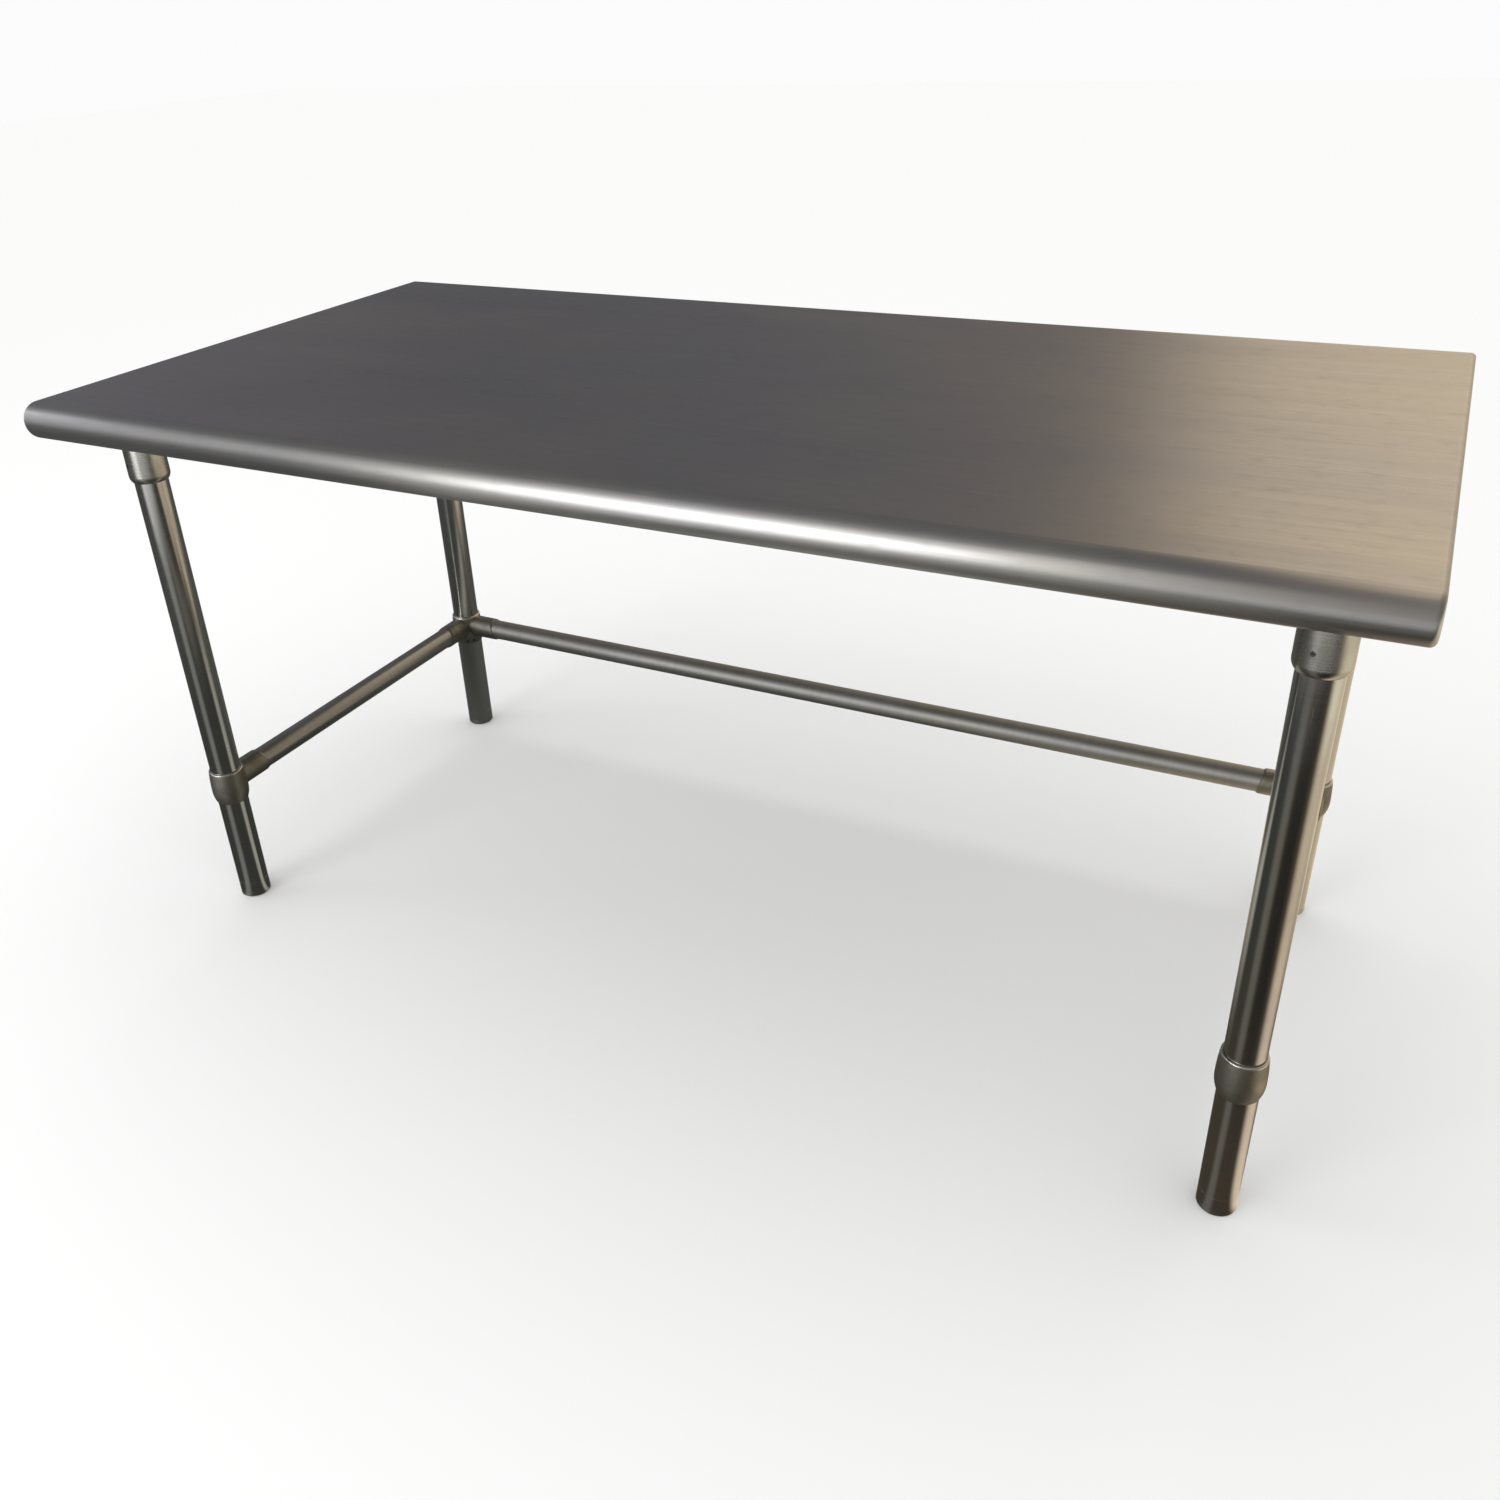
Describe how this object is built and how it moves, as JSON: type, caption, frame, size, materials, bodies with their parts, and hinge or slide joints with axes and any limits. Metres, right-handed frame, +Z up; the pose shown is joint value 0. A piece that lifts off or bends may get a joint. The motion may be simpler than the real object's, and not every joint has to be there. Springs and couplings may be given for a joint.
{
  "type": "stainless work table",
  "caption": "Open-base stainless work table: flat top with rolled front and rear rims, tubular legs in sockets, side and rear rails in cast fittings, adjustable feet.",
  "frame": {"origin": "on the floor, under the middle of the top, with the feet screwed right in", "axes": "+X along the table's length to the right end, +Y from the open front to the railed back, +Z up"},
  "size_m": [1.524, 0.7618, 0.7493],
  "materials": {
    "top_steel": "stainless sheet, number 4 grain along its length, lightly worn",
    "tube_steel": "stainless tube, satin polished, fine grain round the tube",
    "socket_steel": "stainless leg socket, satin polished",
    "cast_metal": "cast rail fitting, matte tumbled skin with a machined top rim",
    "galvanised": "galvanised channel with a faint spangle",
    "fastener_steel": "zinc-plated fasteners",
    "set_screw_steel": "black oxide socket set screws",
    "damping_tape": "butyl damping tape",
    "foot_steel": "stainless adjustable foot, satin polished",
    "insert_metal": "die-cast leg insert"
  },
  "bodies": {
    "table": {"worktop": "top_steel", "cross_channel_left": "galvanised", "cross_channel_right": "galvanised", "long_channel": "galvanised", "cross_tape_left": "damping_tape", "cross_tape_right": "damping_tape", "long_tape": "damping_tape", "channel_studs": "fastener_steel", "channel_nuts": "fastener_steel", "clinch_nuts": "fastener_steel", "socket_screws": "fastener_steel", "socket_set_screws": "set_screw_steel", "fitting_set_screws": "set_screw_steel", "side_rail_left": "tube_steel", "side_rail_right": "tube_steel", "rear_rail": "tube_steel", "leg_socket_front_left": "socket_steel", "leg_front_left": "tube_steel", "foot_insert_front_left": "insert_metal", "rail_fitting_front_left": "cast_metal", "leg_socket_front_right": "socket_steel", "leg_front_right": "tube_steel", "foot_insert_front_right": "insert_metal", "rail_fitting_front_right": "cast_metal", "leg_socket_rear_left": "socket_steel", "leg_rear_left": "tube_steel", "foot_insert_rear_left": "insert_metal", "rail_fitting_rear_left": "cast_metal", "leg_socket_rear_right": "socket_steel", "leg_rear_right": "tube_steel", "foot_insert_rear_right": "insert_metal", "rail_fitting_rear_right": "cast_metal"},
    "adjustable_foot_front_left": {"foot_front_left": "foot_steel"},
    "adjustable_foot_front_right": {"foot_front_right": "foot_steel"},
    "adjustable_foot_rear_left": {"foot_rear_left": "foot_steel"},
    "adjustable_foot_rear_right": {"foot_rear_right": "foot_steel"}
  },
  "joints": [
    {"name": "foot_screw_front_left", "type": "slide", "parent": "table", "child": "adjustable_foot_front_left", "axis": [0, 0, -1], "range_m": [0, 0.025]},
    {"name": "foot_screw_front_right", "type": "slide", "parent": "table", "child": "adjustable_foot_front_right", "axis": [0, 0, -1], "range_m": [0, 0.025]},
    {"name": "foot_screw_rear_left", "type": "slide", "parent": "table", "child": "adjustable_foot_rear_left", "axis": [0, 0, -1], "range_m": [0, 0.025]},
    {"name": "foot_screw_rear_right", "type": "slide", "parent": "table", "child": "adjustable_foot_rear_right", "axis": [0, 0, -1], "range_m": [0, 0.025]}
  ]
}
